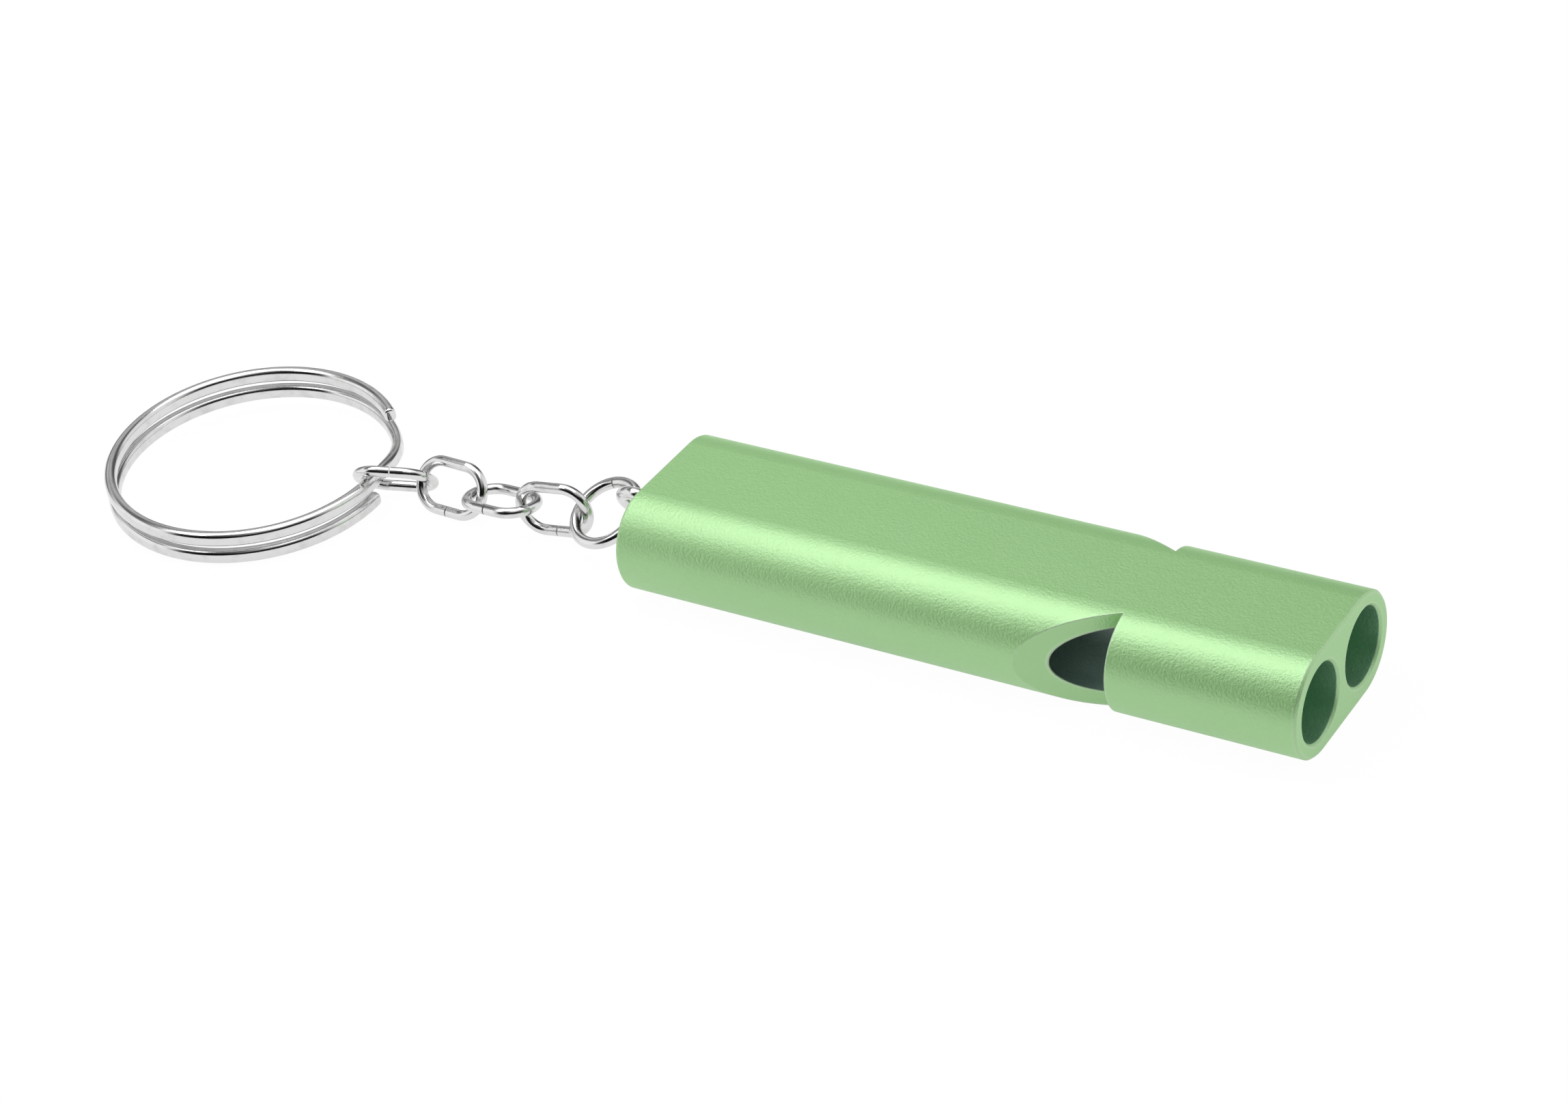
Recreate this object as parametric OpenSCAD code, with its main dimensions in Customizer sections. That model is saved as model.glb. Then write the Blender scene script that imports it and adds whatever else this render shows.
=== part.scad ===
// Double-tube survival whistle on a short chain with a split ring, in millimetres
// The origin is the middle of the flat underside, +X runs to the mouth and +Z is up

/* [Body] */
// Length from the tail face to the mouth
body_l = 58; // [48:1:72]
// Diameter of each tube's bore
bore_d = 6.1; // [5.2:0.1:7.4]
// Wall round each bore
wall_t = 1.2; // [1:0.1:1.8]
// Web between the two bores
web_t = 1.25; // [1:0.05:2.5]
// Break on the outer edges of both ends
edge_break = 0.2; // [0.1:0.05:0.5]

/* [Voicing] */
// Length of the mouthpiece, from the mouth to the window's square wall
mouth_l = 15.2; // [12:0.1:19]
// Length of the window's ramp
ramp_l = 7.6; // [6:0.2:9]
// How far the ramp's deep end opens the bore
ramp_into_bore = 2.5; // [1.8:0.1:2.8]
// Height of the windway between a plug's flat and the bore
windway_h = 1.3; // [0.8:0.1:1.8]
// How far the windway plugs sit back from the mouth
plug_recess = 4.5; // [3:0.5:7]
// Angle of the drill point that ends each bore
drill_point = 118; // [90:1:140]
// Solid tail behind the near bore
near_tail_l = 7; // [6:0.5:9]
// Solid tail behind the far bore, which is shorter and sounds higher
far_tail_l = 10; // [7:0.5:13]

/* [Tail eye] */
// Wire of the eye
eye_wire = 1.1; // [0.9:0.05:1.35]
// Hole through the eye
eye_hole = 2.4; // [2.2:0.1:3]
// Diameter of the eye's threaded shank
shank_d = 2; // [1.6:0.1:2.4]
// Length of shank in the tail
shank_l = 5; // [3:0.5:5.5]
// Diameter of the collar that seats on the tail face
collar_d = 3; // [2.6:0.1:3.6]
// Thickness of that collar
collar_t = 0.3; // [0.2:0.1:0.8]

/* [Chain] */
// Wire of the jump ring
jump_wire = 0.95; // [0.8:0.05:1.1]
// Outside diameter of the jump ring
jump_od = 6.8; // [6:0.1:8]
// Wire of the chain links
link_wire = 0.9; // [0.7:0.05:1.1]
// Outside length of a link
link_l = 7.2; // [6:0.1:8]
// Outside width of a link
link_w = 4.9; // [4.8:0.1:6.2]
// Open seam where a link's two wire ends meet
seam = 0.12; // [0.05:0.01:0.2]
// Play where one piece of wire hooks another
hook_gap = 0.1; // [0.06:0.02:0.2]

/* [Split ring] */
// Outside diameter of the split ring
split_od = 25; // [20:1:30]
// Width of its wire, across the ring
split_w = 1; // [0.9:0.05:1.8]
// Thickness of its wire, along the ring's axis
split_t = 1.25; // [1:0.05:1.5]
// Gap between its two turns
split_gap = 0.45; // [0.42:0.01:0.6]
// Arc over which the wire steps from one turn to the next, in degrees
step_span = 46; // [36:1:60]
// Where the wire's lower end stops, in degrees past the link that holds it
end_past_link = 2; // [0:1:14]

/* [Lie of the chain] */
// Roll of the eye about the whistle's length
eye_roll = -60; // [-90:1:0]
// Yaw, fall and roll of the jump ring
jump_lie = [0, 11, 25]; // [-40:1:40]
// Where the eye sits round the jump ring, above its middle
jump_hang = 48; // [40:1:60]
// Where the first link sits round the jump ring, below its middle
jump_hook = 3; // [0:1:30]
// Yaw, fall and roll of the first link
lie_1 = [5, 5, 87]; // [-90:1:90]
// Yaw, fall and roll of the second link
lie_2 = [-4, 4, -10]; // [-90:1:90]
// Yaw, fall and roll of the third link
lie_3 = [-2, 0, 59]; // [-90:1:90]
// Yaw, fall and roll of the fourth link
lie_4 = [22, -5, -50]; // [-90:1:90]
// Yaw, fall and roll of the split ring
ring_lie = [6, -1.5, 1.5]; // [-30:0.5:30]
// Slack between the fourth link and the split ring
ring_slack = 0.4; // [0.2:0.1:1]
// How high the split ring's wire rides in the fourth link
ring_ride = 0; // [-0.4:0.1:0.4]

/* [Hidden] */
$fn = 96;
body_t = bore_d + 2 * wall_t;
half_t = body_t / 2;
bore_pitch = bore_d + web_t;
half_w = bore_pitch / 2 + half_t;
tail_x = -body_l / 2;
mouth_x = body_l / 2;
window_x = mouth_x - mouth_l;
window_depth = wall_t + ramp_into_bore;
// Room between a pressed or threaded piece and its hole
press_gap = 0.02;
// Break on the bores' mouths and on the plugs' edges
small_break = 0.2;
// Length by which a cutter runs past the face it cuts
past = 1;

NEAR = -1;
FAR = 1;
eye_r = (eye_hole + eye_wire) / 2;
eye_at = [tail_x - collar_t - eye_wire / 2 - eye_r, 0, half_t];
eye_bight = eye_at - [eye_r, 0, 0];
// Where the eye's wire closes on its shank, in degrees round from the shank
eye_seam_at = 38;

jump_r = (jump_od - jump_wire) / 2;
jump_at = eye_bight - (jump_r - hook_reach(jump_wire, eye_wire)) * jump_way(jump_hang, 1);
jump_hold = jump_at + jump_r * jump_way(-jump_hook, -1);
// Where the jump ring's seam is, in degrees round from the whistle's side
jump_seam_at = 100;

link_lies = [lie_1, lie_2, lie_3, lie_4];
link_mid_l = link_l - link_wire;
link_mid_r = (link_w - link_wire) / 2;
link_straight = link_mid_l - 2 * link_mid_r;

split_r = (split_od - split_w) / 2;
split_pitch = split_t + split_gap;
turn_span = 360 - step_span;
split_rings = 90;
split_sides = 12;
// Flatness of the wire's section: 1 is an ellipse, smaller is squarer
split_square = 0.75;
ring_reach = hook_reach(link_wire, split_w) + ring_slack;
ring_strand = link_tail(3) - ring_reach * away(lie_4) + ring_ride * up(ring_lie);
ring_at = ring_strand + split_r * away(ring_lie) - strand_z(360 - end_past_link) * up(ring_lie);

// Directions of a piece that lies at [yaw, fall, roll], where away points from the whistle
function away(lie) = [-cos(lie[1]) * cos(lie[0]), -cos(lie[1]) * sin(lie[0]), -sin(lie[1])];
function flat_side(lie) = [-sin(lie[0]), cos(lie[0]), 0];
function flat_up(lie) = [-sin(lie[1]) * cos(lie[0]), -sin(lie[1]) * sin(lie[0]), cos(lie[1])];
function wide(lie) = cos(lie[2]) * flat_side(lie) + sin(lie[2]) * flat_up(lie);
function up(lie) = cos(lie[2]) * flat_up(lie) - sin(lie[2]) * flat_side(lie);
function unit(v) = v / norm(v);

// Distance between the middles of two hooked wires
function hook_reach(wire_a, wire_b) = (wire_a + wire_b) / 2 + hook_gap;
// Direction from the jump ring's middle at an angle above its length, towards the whistle or from it
function jump_way(angle, sense) = sin(angle) * wide(jump_lie) - sense * cos(angle) * away(jump_lie);

// Direction in which a link pulls on the one before it
function hook_way(i) = unit(away(link_lies[i - 1]) + away(link_lies[i]));

// Middle of the wire at a link's two ends: the head hooks the piece before it
function link_head(i) =
    i == 0
        ? jump_hold - hook_reach(jump_wire, link_wire) * jump_way(-jump_hook, -1)
        : link_tail(i - 1) - hook_reach(link_wire, link_wire) * hook_way(i);
function link_tail(i) = link_head(i) + link_mid_l * away(link_lies[i]);

// Split ring's wire after a given angle of winding: its level, a point on its skin, all its points
function ease(f) = f * f * (3 - 2 * f);
function strand_z(wound) = split_pitch * (ease(min(max((wound - turn_span) / step_span, 0), 1)) - 0.5);
function bulge(c) = sign(c) * pow(abs(c), split_square);
function split_point(ring, side) =
    let (
        wound = ring * (360 + turn_span) / split_rings,
        round_at = -end_past_link - wound,
        a = side * 360 / split_sides,
        r = split_r + split_w / 2 * bulge(cos(a))
    )
    [r * cos(round_at), r * sin(round_at), strand_z(wound) + split_t / 2 * bulge(sin(a))];
split_points = [for (i = [0:split_rings]) for (k = [0:split_sides - 1]) split_point(i, k)];
function skin(i, k) = i * split_sides + k % split_sides;
split_faces = [
    for (i = [0:split_rings - 1]) for (k = [0:split_sides - 1])
        each [
            [skin(i, k), skin(i, k + 1), skin(i + 1, k)],
            [skin(i, k + 1), skin(i + 1, k + 1), skin(i + 1, k)]
        ],
    for (k = [1:split_sides - 2])
        each [[0, k + 1, k], [skin(split_rings, 0), skin(split_rings, k), skin(split_rings, k + 1)]]
];

// Least gap between the split ring's two turns, measured from every point to those a turn away
rings_a_turn = round(split_rings * 360 / (360 + turn_span));
self_gap = min([
    for (i = [0:split_rings - rings_a_turn]) for (j = [-2:2])
        let (other = min(max(i + rings_a_turn + j, 0), split_rings))
        for (k = [0:split_sides - 1]) for (m = [0:split_sides - 1])
            norm(split_points[skin(i, k)] - split_points[skin(other, m)])
]);
echo(str("split ring's least gap to itself: ", self_gap, " mm"));
echo(hinge = "jump_ring_swing", at = eye_bight, axis = wide([0, 0, eye_roll]));
echo(hinge = "link_1_swing", at = jump_hold, axis = cross(up(jump_lie), jump_way(-jump_hook, -1)));
for (i = [0:2]) echo(hinge = str("link_", i + 2, "_swing"), at = link_tail(i), axis = wide(link_lies[i]));
echo(hinge = "split_ring_swing", at = ring_strand, axis = wide(ring_lie));

module along_x() {
    rotate([0, 90, 0]) children();
}

// Places a piece drawn along X: its length at the given yaw and fall, its width at the given roll
module lay(at, lie) {
    translate(at) rotate([0, 0, lie[0]]) rotate([0, -lie[1], 0]) rotate([lie[2], 0, 0]) children();
}

// Half outline of a bar with broken ends, from its axis out
module bar_outline(r, l, edge) {
    polygon([
        [0, -l / 2], [r - edge, -l / 2], [r, edge - l / 2],
        [r, l / 2 - edge], [r - edge, l / 2], [0, l / 2]
    ]);
}

module round_bar(r, l, edge, sweep = 360) {
    along_x() rotate_extrude(angle = sweep) bar_outline(r, l, edge);
}

// Flat-sided bar with round edges, made of a middle slab and two half rounds
module double_tube_blank() {
    rotate([90, 0, 0]) linear_extrude(height = bore_pitch, center = true) rotate(-90) union() {
        bar_outline(half_t, body_l, edge_break);
        mirror([1, 0]) bar_outline(half_t, body_l, edge_break);
    }
    for (turned = [0, 180])
        rotate([turned, 0, 0]) translate([0, bore_pitch / 2, 0]) round_bar(half_t, body_l, edge_break, 180);
}

// Blind bore open at the mouth, with its mouth broken and a drill point at its end
module bore_cut(tail_l) {
    point_l = bore_d / 2 / tan(drill_point / 2);
    translate([tail_x + tail_l, 0, 0]) along_x() cylinder(d = bore_d, h = body_l - tail_l + past);
    translate([tail_x + tail_l - point_l, 0, 0]) along_x() cylinder(d1 = 0, d2 = bore_d, h = point_l);
    translate([mouth_x - small_break, 0, 0]) along_x()
        cylinder(d1 = bore_d, d2 = bore_d + 4 * small_break, h = 2 * small_break);
}

// Notch with a square wall at the mouthpiece and a ramp that lifts to the labium
module window_cut() {
    linear_extrude(height = body_t + 2 * past, center = true) polygon([
        [window_x, half_w + past],
        [window_x, half_w - window_depth],
        [window_x - ramp_l, half_w],
        [window_x - ramp_l, half_w + past]
    ]);
}

module whistle_body() {
    color("#A3C891") translate([0, 0, half_t]) difference() {
        double_tube_blank();
        translate([0, NEAR * bore_pitch / 2, 0]) bore_cut(near_tail_l);
        translate([0, FAR * bore_pitch / 2, 0]) bore_cut(far_tail_l);
        for (turned = [0, 180]) rotate([turned, 0, 0]) window_cut();
        translate([tail_x - past, 0, 0]) along_x()
            cylinder(d = shank_d + 2 * press_gap, h = shank_l + past + press_gap);
    }
}

// Round plug with a flat on its outer side, which leaves the windway open
module windway_plug(side) {
    plug_r = bore_d / 2 - press_gap;
    plug_l = mouth_l - plug_recess;
    color("#97BB86") translate([window_x + plug_l / 2, side * bore_pitch / 2, half_t]) difference() {
        round_bar(plug_r, plug_l, small_break);
        translate([0, side * (bore_d - windway_h), 0])
            cube([plug_l + 2 * past, bore_d, bore_d + past], center = true);
    }
}

module near_windway_plug() {
    windway_plug(NEAR);
}

module far_windway_plug() {
    windway_plug(FAR);
}

// Ring of round wire, cut by a seam at the given angle round from +X
module wire_ring(r, wire, seam_at) {
    difference() {
        rotate_extrude() translate([r, 0]) circle(d = wire);
        rotate(seam_at) translate([r, 0, 0]) cube([2 * wire, seam, 2 * wire], center = true);
    }
}

module tail_eye() {
    color("#D5D6D8") {
        lay(eye_at, [0, 0, eye_roll]) wire_ring(eye_r, eye_wire, eye_seam_at);
        translate([tail_x - collar_t, 0, half_t]) along_x() cylinder(d = collar_d, h = collar_t);
        translate([eye_at[0] + eye_r, 0, half_t]) along_x()
            cylinder(d = shank_d, h = tail_x + shank_l - eye_at[0] - eye_r);
    }
}

module jump_ring() {
    color("#DADBDD") lay(jump_at, jump_lie) wire_ring(jump_r, jump_wire, jump_seam_at);
}

// Oval link with its head at the origin and its length along -X, seamed in one straight side
module chain_link() {
    difference() {
        union() {
            for (end = [0, 1]) translate([-link_mid_r - end * link_straight, 0, 0])
                rotate(180 * end - 90) rotate_extrude(angle = 180)
                    translate([link_mid_r, 0]) circle(d = link_wire);
            for (side = [-1, 1]) translate([-link_mid_r - link_straight, side * link_mid_r, 0])
                along_x() cylinder(d = link_wire, h = link_straight);
        }
        translate([-link_mid_l / 2, -link_mid_r, 0])
            cube([seam, 2 * link_wire, 2 * link_wire], center = true);
    }
}

module laid_link(i) {
    color("#DADBDD") lay(link_head(i), link_lies[i]) chain_link();
}

module chain_link_1() {
    laid_link(0);
}

module chain_link_2() {
    laid_link(1);
}

module chain_link_3() {
    laid_link(2);
}

module chain_link_4() {
    laid_link(3);
}

// Two turns of flattened wire, with one step between them and both ends open
module split_ring() {
    color("#DFE0E2") lay(ring_at, ring_lie) polyhedron(split_points, split_faces);
}

whistle_body();
near_windway_plug();
far_windway_plug();
tail_eye();
jump_ring();
chain_link_1();
chain_link_2();
chain_link_3();
chain_link_4();
split_ring();
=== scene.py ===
"""Looks of a double-tube whistle on a short chain with a split ring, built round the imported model.

Every length in a dataclass field is in millimetres, and every mesh is in metres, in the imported
model's frame.
"""

import logging
import math
from dataclasses import dataclass
from enum import Enum
from typing import Dict, List, Optional, Sequence, Tuple, Union

import bmesh
import bpy
from mathutils import Matrix, Quaternion, Vector


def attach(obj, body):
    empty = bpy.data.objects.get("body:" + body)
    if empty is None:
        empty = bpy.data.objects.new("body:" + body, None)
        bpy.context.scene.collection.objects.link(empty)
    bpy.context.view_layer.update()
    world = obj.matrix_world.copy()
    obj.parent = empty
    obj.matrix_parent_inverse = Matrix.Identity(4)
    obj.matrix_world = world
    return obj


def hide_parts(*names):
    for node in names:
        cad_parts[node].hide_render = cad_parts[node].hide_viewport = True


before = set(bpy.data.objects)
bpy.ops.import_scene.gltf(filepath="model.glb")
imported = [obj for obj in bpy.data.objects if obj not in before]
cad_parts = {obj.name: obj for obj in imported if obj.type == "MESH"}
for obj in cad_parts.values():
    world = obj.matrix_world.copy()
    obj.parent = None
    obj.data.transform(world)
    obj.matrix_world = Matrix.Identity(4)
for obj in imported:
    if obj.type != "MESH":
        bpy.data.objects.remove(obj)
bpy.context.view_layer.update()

MM = 0.001

log = logging.getLogger("whistle")

Colour = Tuple[float, float, float, float]
Point = Tuple[float, float, float]
Span = Tuple[float, float]
Stops = Tuple[Tuple[float, float], ...]


def rgb(red: float, green: float, blue: float) -> Colour:
    """Gives an opaque colour from three linear shares."""
    return (red, green, blue, 1.0)


def grey(level: float) -> Colour:
    """Gives an opaque grey."""
    return rgb(level, level, level)


WHITE = grey(1.0)


class Ray(Enum):
    """Kinds of ray that see the white background and not only the light that falls from it."""

    CAMERA = "Is Camera Ray"
    GLOSSY = "Is Glossy Ray"


class Signal:
    """One output of a shader node, whose arithmetic adds Math nodes to the same recipe."""

    def __init__(self, recipe: "Recipe", socket: bpy.types.NodeSocket) -> None:
        """Keeps the socket and the recipe that it belongs to.

        Args:
            recipe: The node tree's recipe.
            socket: The output socket.
        """
        self.recipe = recipe
        self.socket = socket

    def _maths(self, operation: str, *terms: "Term") -> "Signal":
        """Adds one Math node.

        Args:
            operation: The Math node's operation.
            terms: Its inputs in order.

        Returns:
            The node's output.
        """
        return self.recipe.node("ShaderNodeMath", {"operation": operation}, dict(enumerate(terms)))

    def __add__(self, other: "Term") -> "Signal":
        """Adds a value."""
        return self._maths("ADD", self, other)

    def __radd__(self, other: "Term") -> "Signal":
        """Is added to a value."""
        return self._maths("ADD", other, self)

    def __sub__(self, other: "Term") -> "Signal":
        """Takes a value away."""
        return self._maths("SUBTRACT", self, other)

    def __rsub__(self, other: "Term") -> "Signal":
        """Is taken away from a value."""
        return self._maths("SUBTRACT", other, self)

    def __mul__(self, other: "Term") -> "Signal":
        """Multiplies by a value."""
        return self._maths("MULTIPLY", self, other)

    def __abs__(self) -> "Signal":
        """Gives the size without the sign."""
        return self._maths("ABSOLUTE", self)

    def root(self) -> "Signal":
        """Gives the square root."""
        return self._maths("SQRT", self)

    def wave(self) -> "Signal":
        """Gives the sine."""
        return self._maths("SINE", self)

    def rise(self, low: float, high: float) -> "Signal":
        """Rises smoothly from 0 to 1 between two values.

        Args:
            low: Where it starts to rise.
            high: Where it is full.

        Returns:
            The smooth step.
        """
        settings = {"interpolation_type": "SMOOTHSTEP"}
        inputs = {"Value": self, "From Min": low, "From Max": high, "To Min": 0.0, "To Max": 1.0}
        return self.recipe.node("ShaderNodeMapRange", settings, inputs)


Term = Union[Signal, float]
Value = Union[Signal, float, Sequence[float]]
Inputs = Dict[Union[str, int], Value]


class Recipe:
    """The node tree of one material or of the world."""

    def __init__(self, tree: bpy.types.NodeTree) -> None:
        """Empties the tree.

        Args:
            tree: The node tree to fill.
        """
        self.tree = tree
        tree.nodes.clear()

    def _added(self, kind: str, settings: Dict[str, object], inputs: Inputs) -> bpy.types.Node:
        """Adds one node.

        Args:
            kind: The node's type.
            settings: Its settings, set before its sockets.
            inputs: The value or the link of each socket, by name or number.

        Returns:
            The node.
        """
        made = self.tree.nodes.new(kind)
        for name, value in settings.items():
            setattr(made, name, value)
        for name, value in inputs.items():
            if isinstance(value, Signal):
                self.tree.links.new(value.socket, made.inputs[name])
            else:
                made.inputs[name].default_value = value
        return made

    def node(
        self,
        kind: str,
        settings: Optional[Dict[str, object]] = None,
        inputs: Optional[Inputs] = None,
        output: Union[str, int] = 0,
    ) -> Signal:
        """Adds one node and gives back an output of it.

        Args:
            kind: The node's type.
            settings: Its settings, set before its sockets.
            inputs: The value or the link of each socket, by name or number.
            output: Which output is given back.

        Returns:
            That output of the node.
        """
        made = self._added(kind, settings or {}, inputs or {})
        return Signal(self, made.outputs[output])

    def end(self, kind: str, shader: Signal) -> None:
        """Adds the tree's output node."""
        self._added(kind, {}, {"Surface": shader})

    def principled(self, inputs: Inputs) -> None:
        """Ends a material with one Principled shader."""
        shader = self.node("ShaderNodeBsdfPrincipled", None, inputs)
        self.end("ShaderNodeOutputMaterial", shader)

    def ramp(self, value: Signal, stops: Stops) -> Signal:
        """Turns a value into a grey.

        Args:
            value: The value, from 0 to 1.
            stops: The place and grey of each stop, in order.

        Returns:
            The grey.
        """
        made = self._added("ShaderNodeValToRGB", {}, {0: value})
        elements = made.color_ramp.elements
        while len(elements) < len(stops):
            elements.new(1.0)
        for element, (place, level) in zip(elements, stops):
            element.position = place
            element.color = grey(level)
        return Signal(self, made.outputs[0])

    def place(self) -> Signal:
        """Gives the point on the piece in millimetres, in the model's frame."""
        point = self.node("ShaderNodeTexCoord", output="Object")
        return self.scaled(point, 1 / MM)

    def scaled(self, vector: Signal, scale: Term) -> Signal:
        """Multiplies a vector or a colour by a value."""
        settings = {"operation": "SCALE"}
        return self.node("ShaderNodeVectorMath", settings, {0: vector, "Scale": scale})

    def axes(self, vector: Signal) -> Tuple[Signal, Signal, Signal]:
        """Splits a vector into its three parts."""
        split = self._added("ShaderNodeSeparateXYZ", {}, {0: vector})
        return tuple(Signal(self, out) for out in split.outputs)

    def noise(
        self, vector: Signal, scale: float, detail: float = 3.0, roughness: float = 0.5
    ) -> Signal:
        """Adds soft noise.

        Args:
            vector: Where it is read.
            scale: How many features there are to a unit.
            detail: How many finer layers it has.
            roughness: How strong the finer layers are.

        Returns:
            The noise from 0 to 1, about 0.5.
        """
        inputs = {"Vector": vector, "Scale": scale, "Detail": detail, "Roughness": roughness}
        return self.node("ShaderNodeTexNoise", None, inputs)

    def blend(self, share: Term, first: Value, second: Value) -> Signal:
        """Mixes two colours.

        Args:
            share: How much of the second there is.
            first: The first colour.
            second: The second colour.

        Returns:
            The mixed colour.
        """
        factor, colour_a, colour_b, colour_out = 0, 6, 7, 2
        inputs = {factor: share, colour_a: first, colour_b: second}
        return self.node("ShaderNodeMix", {"data_type": "RGBA"}, inputs, colour_out)

    def bump(self, height: Signal, depth: float, normal: Optional[Signal] = None) -> Signal:
        """Turns a height into a bumped normal.

        Args:
            height: The height, where 1 is the full depth.
            depth: The full depth in millimetres.
            normal: The normal to start from.

        Returns:
            The bumped normal.
        """
        inputs: Inputs = {"Strength": 1.0, "Distance": depth * MM, "Height": height}
        if normal is not None:
            inputs["Normal"] = normal
        return self.node("ShaderNodeBump", None, inputs)

    def sees(self, ray: Ray) -> Signal:
        """Gives 1 for one kind of ray and 0 for the others."""
        return self.node("ShaderNodeLightPath", output=ray.value)


def new_material(name: str) -> Tuple[bpy.types.Material, Recipe]:
    """Makes an empty material.

    Args:
        name: The material's name.

    Returns:
        The material and its recipe.
    """
    material = bpy.data.materials.new(name)
    material.use_nodes = True
    return material, Recipe(material.node_tree)


def wear(piece: bpy.types.Object, material: bpy.types.Material) -> None:
    """Gives a piece one material all over."""
    piece.data.materials.clear()
    piece.data.materials.append(material)


def stand(name: str, data: bpy.types.ID) -> bpy.types.Object:
    """Puts a mesh, a light or a camera in the scene.

    Args:
        name: The object's name.
        data: What it shows.

    Returns:
        The object.
    """
    made = bpy.data.objects.new(name, data)
    bpy.context.scene.collection.objects.link(made)
    return made


def shaped(name: str, bm: bmesh.types.BMesh) -> bpy.types.Object:
    """Turns a finished bmesh into an object and frees it.

    Args:
        name: The object's and the mesh's name.
        bm: The bmesh.

    Returns:
        The object.
    """
    mesh = bpy.data.meshes.new(name)
    bm.to_mesh(mesh)
    bm.free()
    return stand(name, mesh)


@dataclass(frozen=True)
class Tubes:
    """Where the two bores run in the body."""

    offset: float = 3.675
    height: float = 4.25
    radius: float = 3.05
    end: float = -25.0
    end_blur: float = 0.5
    rim: Span = (0.002, 0.008)
    window: Span = (12.8, 14.8)

    def reach(self, y: Signal, z: Signal) -> Signal:
        """Gives how far a point lies from the nearer bore's axis.

        Args:
            y: The point's place across the body.
            z: The point's height.

        Returns:
            The distance.
        """
        across = abs(y) - self.offset
        up = z - self.height
        return (across * across + up * up).root()

    def inside(self, x: Signal, y: Signal, z: Signal) -> Signal:
        """Marks the bores' walls, which take the painted shade and painted light as well as their
        own metal and roughness.

        Args:
            x: The point's place along the body.
            y: The point's place across the body.
            z: The point's height.

        Returns:
            1 in a bore and 0 outside it.
        """
        near, far = self.rim
        within = 1 - self.reach(y, z).rise(self.radius + near, self.radius + far)
        return within * x.rise(self.end - self.end_blur, self.end)


@dataclass(frozen=True)
class AnodisedGreen:
    """Satin, pale green anodised aluminium: fine blasted grain, softened edges, edge wear with a
    painted highlight on the edges, painted shade in the bores and painted light in the chamber on
    the tail side of the windows.
    """

    name: str = "anodised_green"
    tubes: Tubes = Tubes()
    dye: Colour = rgb(0.322, 0.672, 0.226)
    thin_dye: Colour = rgb(0.356, 0.715, 0.260)
    thin_share: float = 0.3
    # Paler edges: partly edge wear, partly a painted highlight standing in for the glint along the
    # edges.
    edge_wear_and_highlight: Colour = rgb(0.60, 0.80, 0.53)
    wear_and_highlight_share: float = 0.6
    wear_and_highlight_turn: Span = (0.006, 0.08)
    wear_and_highlight_radius: float = 0.36
    edge_radius: float = 0.16
    edge_samples: int = 6
    # Painted shade in the bores and painted light in the chamber on the tail side of the windows,
    # set as base colours.
    bore_painted_shade: Colour = rgb(0.36, 0.61, 0.42)
    chamber_painted_light: Colour = rgb(0.66, 0.76, 0.74)
    metal: float = 0.36
    oxide_index: float = 2.85
    roughness: float = 0.38
    bore_roughness: float = 0.2
    grain_per_mm: float = 5.0
    grain_fineness: float = 0.6
    grain_tint: float = 0.5
    grain_roughness: float = 0.16
    grain_depth: float = 0.034
    cloud_per_mm: float = 0.16
    cloud_detail: float = 2.0
    cloud_tint: float = 0.9

    def softened(self, recipe: Recipe, radius: float) -> Signal:
        """Gives the normal with its edges rounded off by a radius."""
        settings = {"samples": self.edge_samples}
        return recipe.node("ShaderNodeBevel", settings, {"Radius": radius * MM})

    def wear_and_highlight_at_edge(self, recipe: Recipe) -> Signal:
        """Marks the sharp edges, where handling wears the dye and where a painted highlight stands
        in for the glint along them.

        Args:
            recipe: The material's recipe.

        Returns:
            1 on an edge and 0 on a face.
        """
        soft = self.softened(recipe, self.wear_and_highlight_radius)
        true = recipe.node("ShaderNodeNewGeometry", output="True Normal")
        settings = {"operation": "DOT_PRODUCT"}
        turn = recipe.node("ShaderNodeVectorMath", settings, {0: soft, 1: true}, "Value")
        return (1 - turn).rise(*self.wear_and_highlight_turn)

    def material(self) -> bpy.types.Material:
        """Makes the material.

        Returns:
            The material.
        """
        material, recipe = new_material(self.name)
        point = recipe.place()
        x, y, z = recipe.axes(point)
        bore = self.tubes.inside(x, y, z)
        grain = recipe.noise(point, self.grain_per_mm, roughness=self.grain_fineness)
        cloud = recipe.noise(point, self.cloud_per_mm, self.cloud_detail)
        mottle = (cloud - 0.5) * self.cloud_tint + (grain - 0.5) * self.grain_tint
        dye = recipe.blend(mottle + self.thin_share, self.dye, self.thin_dye)
        # Pale edges mixed in: edge wear together with a painted highlight.
        dye_with_wear_and_highlight = recipe.blend(self.wear_and_highlight_at_edge(recipe) * self.wear_and_highlight_share, dye, self.edge_wear_and_highlight)
        # Painted light in the chamber and painted shade in the bores, blended across the window.
        bore_painted_light_and_shade = recipe.blend(x.rise(*self.tubes.window), self.chamber_painted_light, self.bore_painted_shade)
        roughness = self.roughness + (grain - 0.5) * self.grain_roughness
        soft = self.softened(recipe, self.edge_radius)
        recipe.principled(
            {
                # Base colour: dye with edge wear and painted highlight outside the bores, painted
                # light and shade inside them.
                "Base Color": recipe.blend(bore, dye_with_wear_and_highlight, bore_painted_light_and_shade),
                "Metallic": self.metal + bore * (1 - self.metal),
                "Roughness": roughness + bore * self.bore_roughness,
                "Normal": recipe.bump(grain, self.grain_depth, soft),
                "IOR": self.oxide_index,
            }
        )
        return material


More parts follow.
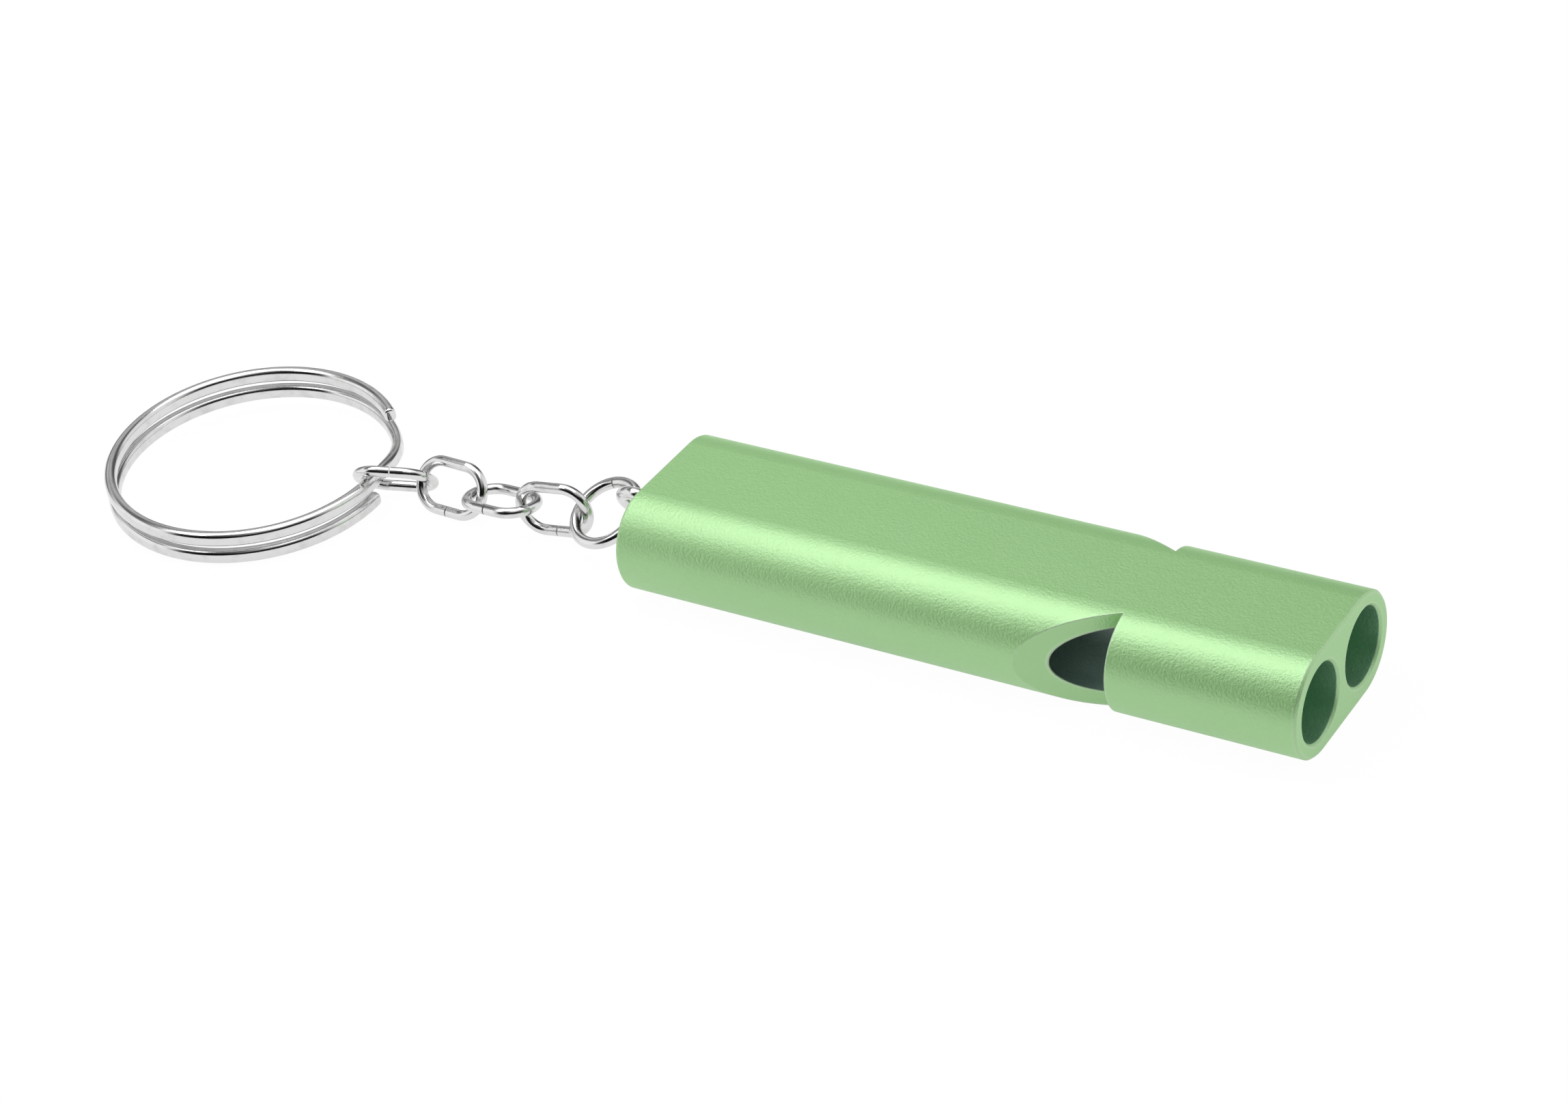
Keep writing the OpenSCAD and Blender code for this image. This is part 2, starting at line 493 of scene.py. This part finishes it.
@dataclass(frozen=True)
class TurnedGreen:
    """Turned aluminium plugs, dyed with the body, with fine rings on their ends."""

    name: str = "plug_green"
    tubes: Tubes = Tubes()
    dye: Colour = rgb(0.26, 0.50, 0.32)
    lightest: float = 1.25
    roughness: float = 0.5
    grain_per_mm: float = 6.0
    grain_roughness: float = 0.15
    rings_per_mm: float = 5.0
    ring_depth: float = 0.004

    def material(self) -> bpy.types.Material:
        """Makes the material.

        Returns:
            The material.
        """
        material, recipe = new_material(self.name)
        point = recipe.place()
        _, y, z = recipe.axes(point)
        rings = (self.tubes.reach(y, z) * (2 * math.pi * self.rings_per_mm)).wave()
        grain = recipe.noise(point, self.grain_per_mm)
        light_dye = rgb(*(self.lightest * share for share in self.dye[:3]))
        recipe.principled(
            {
                "Base Color": recipe.blend(grain, self.dye, light_dye),
                "Metallic": 1.0,
                "Roughness": self.roughness + (grain - 0.5) * self.grain_roughness,
                "Normal": recipe.bump(rings * 0.5 + 0.5, self.ring_depth),
            }
        )
        return material


@dataclass(frozen=True)
class NickelWire:
    """Bright nickel plate on drawn steel wire, with faint haze and fine rubbing marks."""

    name: str = "nickel_wire"
    plate: Colour = rgb(0.73, 0.73, 0.73)
    worn: Colour = rgb(0.58, 0.57, 0.56)
    wear_and_highlight_share: float = 0.6
    worn_haze: Span = (0.45, 0.75)
    roughness: float = 0.13
    haze_per_mm: float = 0.9
    dull_haze: Span = (0.4, 0.8)
    haze_roughness: float = 0.08
    rub_per_mm: float = 9.0
    rub_fineness: float = 0.6
    rub_roughness: float = 0.08
    rub_depth: float = 0.002

    def material(self) -> bpy.types.Material:
        """Makes the material.

        Returns:
            The material.
        """
        material, recipe = new_material(self.name)
        point = recipe.place()
        haze = recipe.noise(point, self.haze_per_mm)
        rub = recipe.noise(point, self.rub_per_mm, roughness=self.rub_fineness)
        worn = haze.rise(*self.worn_haze) * self.wear_and_highlight_share
        dull = self.roughness + haze.rise(*self.dull_haze) * self.haze_roughness
        recipe.principled(
            {
                "Base Color": recipe.blend(worn, self.plate, self.worn),
                "Metallic": 1.0,
                "Roughness": dull + (rub - 0.5) * self.rub_roughness,
                "Normal": recipe.bump(rub, self.rub_depth),
            }
        )
        return material


@dataclass
class Whistle:
    """The body with its two windway plugs and the eye in its tail."""

    body_node: str = "whistle_body"
    plug_nodes: Tuple[str, str] = ("near_windway_plug", "far_windway_plug")
    eye_node: str = "tail_eye"

    def dress(self, body: AnodisedGreen, plug: TurnedGreen, wire: bpy.types.Material) -> List[str]:
        """Gives each piece its finish.

        Args:
            body: The body's finish.
            plug: The plugs' finish.
            wire: The eye's material.

        Returns:
            The names of the pieces.
        """
        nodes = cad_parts
        wear(nodes[self.body_node], body.material())
        turned = plug.material()
        for name in self.plug_nodes:
            wear(nodes[name], turned)
        wear(nodes[self.eye_node], wire)
        return [self.body_node, *self.plug_nodes, self.eye_node]


@dataclass
class Chain:
    """The jump ring and the four oval links."""

    jump_node: str = "jump_ring"
    link_node: str = "chain_link_{}"
    links: int = 4

    def dress(self, wire: bpy.types.Material) -> List[str]:
        """Gives each link its finish.

        Args:
            wire: The wire's material.

        Returns:
            The names of the pieces.
        """
        links = [self.link_node.format(number + 1) for number in range(self.links)]
        names = [self.jump_node, *links]
        for name in names:
            wear(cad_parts[name], wire)
        return names


@dataclass
class SplitRing:
    """One flattened wire wound twice round, with a step between its turns and two open ends."""

    node: str = "split_ring"
    body: str = "split_ring"
    centre_radius: float = 12.0
    width: float = 1.0
    thickness: float = 1.25
    corner: float = 0.44
    corner_steps: int = 8
    pitch: float = 1.7
    step_span: float = 46.0
    end_past_link: float = 2.0
    place: Point = (-68.552, -4.106, 2.040)
    turns: Point = (1.5, 1.5, 6.0)
    flat_steps: int = 140
    rise_steps: int = 28
    end_round: float = 0.2
    end_steps: int = 3

    def _level(self, share: float) -> float:
        """Gives how far up the step the wire is, from 0 to 1, at a share of its span."""
        return share * share * (3 - 2 * share)

    def _section(self, bm: bmesh.types.BMesh) -> List[bmesh.types.BMEdge]:
        """Makes the wire's outline where the lower turn starts.

        Args:
            bm: The mesh to make it in.

        Returns:
            The outline's edges.
        """
        bmesh.ops.create_grid(bm, x_segments=1, y_segments=1, size=0.5 * MM)
        bmesh.ops.scale(bm, vec=(self.width, self.thickness, 1.0), verts=bm.verts)
        bmesh.ops.bevel(
            bm,
            geom=bm.verts[:],
            offset=self.corner * MM,
            offset_type="OFFSET",
            segments=self.corner_steps,
            profile=0.5,
            affect="VERTICES",
            material=-1,
        )
        bmesh.ops.delete(bm, geom=bm.faces[:], context="FACES_ONLY")
        upright = Matrix.Rotation(math.pi / 2, 4, "X")
        start = Matrix.Rotation(math.radians(-self.end_past_link), 4, "Z")
        out = Matrix.Translation((self.centre_radius * MM, 0.0, -self.pitch / 2 * MM))
        bmesh.ops.transform(bm, matrix=start @ out @ upright, verts=bm.verts)
        return bm.edges[:]

    def _wind(
        self,
        bm: bmesh.types.BMesh,
        edges: List[bmesh.types.BMEdge],
        span: float,
        steps: int,
        lift: float,
    ) -> List[bmesh.types.BMEdge]:
        """Sweeps the outline on round the ring.

        Args:
            bm: The mesh.
            edges: The outline where the sweep starts.
            span: How far it goes, in degrees.
            steps: In how many steps.
            lift: How far each step rises.

        Returns:
            The outline where the sweep ends.
        """
        swept = bmesh.ops.spin(
            bm,
            geom=edges,
            cent=(0.0, 0.0, 0.0),
            axis=(0.0, 0.0, -1.0),
            dvec=(0.0, 0.0, lift * MM),
            angle=math.radians(span),
            steps=steps,
            use_duplicate=False,
        )
        return [part for part in swept["geom_last"] if isinstance(part, bmesh.types.BMEdge)]

    def _close(self, bm: bmesh.types.BMesh, ends: Sequence[List[bmesh.types.BMEdge]]) -> None:
        """Closes the wire's ends and rounds their edges.

        Args:
            bm: The mesh.
            ends: The outline of each end.
        """
        for end in ends:
            bmesh.ops.edgeloop_fill(bm, edges=end)
        bmesh.ops.recalc_face_normals(bm, faces=bm.faces)
        bmesh.ops.bevel(
            bm,
            geom=[edge for end in ends for edge in end],
            offset=self.end_round * MM,
            offset_type="OFFSET",
            segments=self.end_steps,
            profile=0.5,
            affect="EDGES",
            material=-1,
        )
        for face in bm.faces:
            face.smooth = True

    def _lie(self) -> Matrix:
        """Gives the move that lays the ring in its place.

        Returns:
            The move.
        """
        tilt, fall, yaw = (math.radians(turn) for turn in self.turns)
        return (
            Matrix.Translation(Vector(self.place) * MM)
            @ Matrix.Rotation(yaw, 4, "Z")
            @ Matrix.Rotation(fall, 4, "Y")
            @ Matrix.Rotation(tilt, 4, "X")
        )

    def build(self) -> bpy.types.Object:
        """Winds the wire, closes its ends and lays it in its place.

        Returns:
            The ring's object.
        """
        bm = bmesh.new()
        flat_span = 360 - self.step_span
        first = self._section(bm)
        last = self._wind(bm, first, flat_span, self.flat_steps, 0.0)
        for step in range(self.rise_steps):
            low, high = step / self.rise_steps, (step + 1) / self.rise_steps
            lift = self.pitch * (self._level(high) - self._level(low))
            last = self._wind(bm, last, self.step_span / self.rise_steps, 1, lift)
        last = self._wind(bm, last, flat_span, self.flat_steps, 0.0)
        self._close(bm, (first, last))
        bmesh.ops.transform(bm, matrix=self._lie(), verts=bm.verts)
        piece = shaped("split_ring_wire", bm)
        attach(piece, self.body)
        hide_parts(self.node)
        return piece

    def dress(self, piece: bpy.types.Object, wire: bpy.types.Material) -> List[str]:
        """Gives the ring its finish.

        Args:
            piece: The ring's object.
            wire: The wire's material.

        Returns:
            The name of the piece.
        """
        wear(piece, wire)
        return [piece.name]


@dataclass(frozen=True)
class Softbox:
    """One soft light that faces the floor."""

    name: str
    at: Point
    size: Span
    watts: float

    def hang(self) -> None:
        """Makes the light."""
        data = bpy.data.lights.new(self.name, "AREA")
        data.shape = "RECTANGLE"
        data.size, data.size_y = (side * MM for side in self.size)
        data.energy = self.watts
        stand(self.name, data).location = Vector(self.at) * MM


@dataclass(frozen=True)
class Camera:
    """The camera at the photograph's viewing angle."""

    aim: Point = (-18.548, 0.0, 2.90)
    azimuth: float = 36.021
    elevation: float = 33.869
    roll: float = -8.227
    distance: float = 298.257
    focal_px: float = 5592.0
    photo_width: float = 2296.0
    sensor: float = 36.0
    clip_m: Span = (0.01, 20.0)

    def back(self) -> Vector:
        """Gives the direction from the object to the camera."""
        a, e = math.radians(self.azimuth), math.radians(self.elevation)
        return Vector((math.sin(a) * math.cos(e), -math.cos(a) * math.cos(e), math.sin(e)))

    def set_up(self) -> None:
        """Makes the camera."""
        data = bpy.data.cameras.new("camera")
        data.sensor_width = self.sensor
        data.lens = self.focal_px / self.photo_width * self.sensor
        data.clip_start, data.clip_end = self.clip_m
        camera = stand("camera", data)
        camera.location = (Vector(self.aim) + self.back() * self.distance) * MM
        camera.rotation_mode = "QUATERNION"
        level = (-self.back()).to_track_quat("-Z", "Y")
        turned = Quaternion((0.0, 0.0, 1.0), math.radians(self.roll))
        camera.rotation_quaternion = level @ turned
        bpy.context.scene.camera = camera


@dataclass(frozen=True)
class Floor:
    """A white floor, which keeps a faint shadow."""

    half: float = 3000.0
    drop: float = 0.02
    paper: Colour = grey(0.90)
    glow: float = 1.02
    camera_glow: float = 0.95
    glossy_glow: float = 0.85

    def lay(self) -> None:
        """Makes the floor."""
        bm = bmesh.new()
        bmesh.ops.create_grid(bm, x_segments=1, y_segments=1, size=self.half * MM)
        bmesh.ops.translate(bm, vec=(0.0, 0.0, -self.drop * MM), verts=bm.verts)
        floor = shaped("floor", bm)
        material, recipe = new_material("studio_floor")
        paper = recipe.node("ShaderNodeBsdfDiffuse", None, {"Color": self.paper})
        white = recipe.node("ShaderNodeEmission", None, {"Color": WHITE, "Strength": self.glow})
        camera = recipe.sees(Ray.CAMERA) * self.camera_glow
        share = camera + recipe.sees(Ray.GLOSSY) * self.glossy_glow
        mixed = recipe.node("ShaderNodeMixShader", None, {0: share, 1: paper, 2: white})
        recipe.end("ShaderNodeOutputMaterial", mixed)
        wear(floor, material)


@dataclass(frozen=True)
class Room:
    """The room that the metal mirrors, white where the camera sees it.

    A stop gives a wall's grey at a height from 0, straight down, to 1, straight up. A span is
    the part of a direction's x, y or z over which one thing passes into another.
    """

    front: Stops = (
        (0.00, 0.95), (0.52, 0.90), (0.56, 0.01), (0.80, 0.01), (0.90, 0.50), (1.00, 0.80),
    )
    behind: Stops = (
        (0.00, 0.95), (0.50, 0.80), (0.52, 0.42), (0.64, 0.46), (0.76, 0.50), (1.00, 0.70),
    )
    aside: Stops = (
        (0.00, 0.95), (0.52, 0.90), (0.58, 0.80), (0.74, 0.80), (0.82, 1.50), (1.00, 1.50),
    )
    mouth_wall: Colour = grey(0.95)
    aside_to_front: Span = (-0.57, -0.38)
    front_to_behind: Span = (-0.25, 0.25)
    to_mouth_wall: Span = (0.05, 0.40)
    tail_light: float = 1.34
    fall: float = 1.12
    fall_span: Span = (-0.66, -0.10)
    mouth_gain: float = 0.78
    aft_end: Span = (-0.60, -0.50)
    overhead: Span = (0.50, 0.66)
    overhead_shade: float = 0.85
    low_start: Span = (0.00, 0.06)
    low_end: Span = (0.30, 0.50)
    low_shade: float = 0.65

    def _walls(self, recipe: Recipe, x: Signal, y: Signal, z: Signal) -> Signal:
        """Paints the walls.

        Args:
            recipe: The world's recipe.
            x: The direction's part along the whistle.
            y: The direction's part across it.
            z: The direction's part upwards.

        Returns:
            The walls' grey.
        """
        height = z * 0.5 + 0.5
        front, behind, aside = (
            recipe.ramp(height, stops) for stops in (self.front, self.behind, self.aside)
        )
        before = recipe.blend(x.rise(*self.aside_to_front), aside, front)
        beyond = recipe.blend(x.rise(*self.to_mouth_wall), behind, self.mouth_wall)
        return recipe.blend(y.rise(*self.front_to_behind), before, beyond)

    def _level(self, x: Signal, y: Signal, z: Signal) -> Signal:
        """Gives how strongly the walls are lit.

        Args:
            x: The direction's part along the whistle.
            y: The direction's part across it.
            z: The direction's part upwards.

        Returns:
            The level, where 1 keeps a wall's grey.
        """
        lit = self.tail_light - x.rise(*self.fall_span) * self.fall
        lit = lit + x.rise(*self.to_mouth_wall) * self.mouth_gain
        aft = 1 - x.rise(*self.aft_end)
        overhead = aft * z.rise(*self.overhead)
        horizon = z.rise(*self.low_start) * (1 - z.rise(*self.low_end))
        low = aft * y.rise(*self.front_to_behind) * horizon
        return lit * (1 - overhead * self.overhead_shade) * (1 - low * self.low_shade)

    def set_up(self) -> None:
        """Makes the room."""
        world = bpy.data.worlds.new("room")
        bpy.context.scene.world = world
        world.use_nodes = True
        recipe = Recipe(world.node_tree)
        axes = recipe.axes(recipe.node("ShaderNodeTexCoord", output="Generated"))
        mirrored = recipe.scaled(self._walls(recipe, *axes), self._level(*axes))
        seen = recipe.blend(recipe.sees(Ray.CAMERA), mirrored, WHITE)
        light = recipe.node("ShaderNodeBackground", None, {"Color": seen, "Strength": 1.0})
        recipe.end("ShaderNodeOutputWorld", light)


@dataclass
class Studio:
    """The camera, the floor, two soft overhead lights and the room."""

    camera: Camera = Camera()
    floor: Floor = Floor()
    room: Room = Room()
    softboxes: Tuple[Softbox, ...] = (
        Softbox("tail_box", (-180.0, -20.0, 280.0), (90.0, 350.0), 0.25),
        Softbox("mouth_box", (-37.0, 30.0, 280.0), (194.0, 250.0), 0.28),
    )

    def set_up(self) -> None:
        """Makes all of it, and keeps colours as they are written."""
        self.camera.set_up()
        self.floor.lay()
        for box in self.softboxes:
            box.hang()
        self.room.set_up()
        bpy.context.scene.view_settings.view_transform = "Standard"


def main() -> None:
    """Builds and dresses every piece in order."""
    logging.basicConfig(level=logging.INFO, format="%(message)s")
    Studio().set_up()
    wire = NickelWire().material()
    made = Whistle().dress(AnodisedGreen(), TurnedGreen(), wire)
    made += Chain().dress(wire)
    ring = SplitRing()
    made += ring.dress(ring.build(), wire)
    for name in made:
        piece = bpy.data.objects[name]
        finish = piece.data.materials[0].name
        log.info("%s: %d faces, %s", name, len(piece.data.polygons), finish)


if __name__ == "__main__":
    main()
